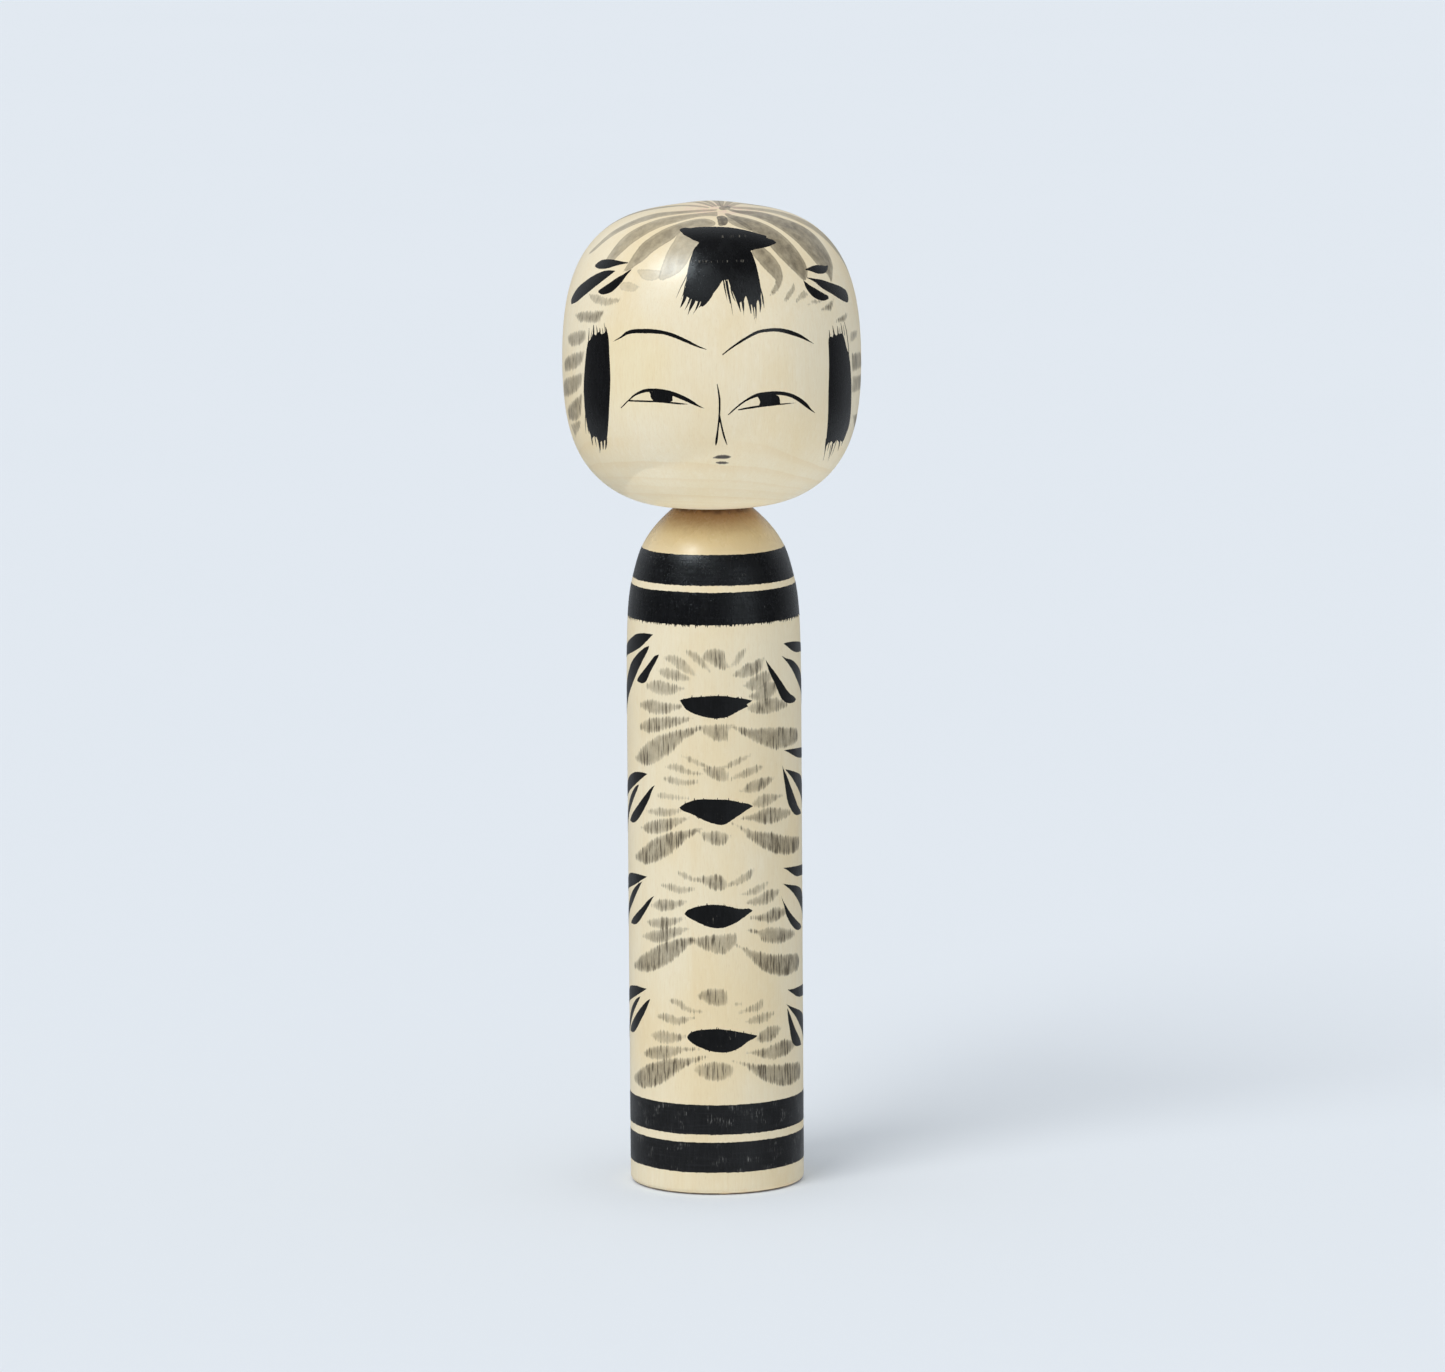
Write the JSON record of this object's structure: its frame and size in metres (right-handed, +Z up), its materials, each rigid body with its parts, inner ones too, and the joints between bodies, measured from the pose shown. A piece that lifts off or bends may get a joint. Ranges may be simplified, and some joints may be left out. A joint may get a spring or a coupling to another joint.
{
  "type": "kokeshi doll",
  "caption": "Turned wooden doll with a plain cylinder body, round shoulders and a large rounded head that turns stiffly on a hidden neck peg; hand-brushed ink decoration.",
  "frame": {"origin": "centre of the base's underside", "axes": "+Z up along the turning axis, the face looks along -Y, +X to the viewer's right"},
  "size_m": [0.0542, 0.0542, 0.18],
  "materials": {
    "body_wood": "waxed satin, hand-brushed ink",
    "head_wood": "waxed satin, hand-brushed ink",
    "peg_wood": "bare turned"
  },
  "bodies": {
    "body": {"body": "body_wood"},
    "head": {"head": "head_wood", "neck_peg": "peg_wood"}
  },
  "joints": [
    {"name": "head_turn", "type": "hinge", "parent": "body", "child": "head", "pos_m": [0, 0, 0.125], "axis": [0, 0, 1], "continuous": true}
  ]
}
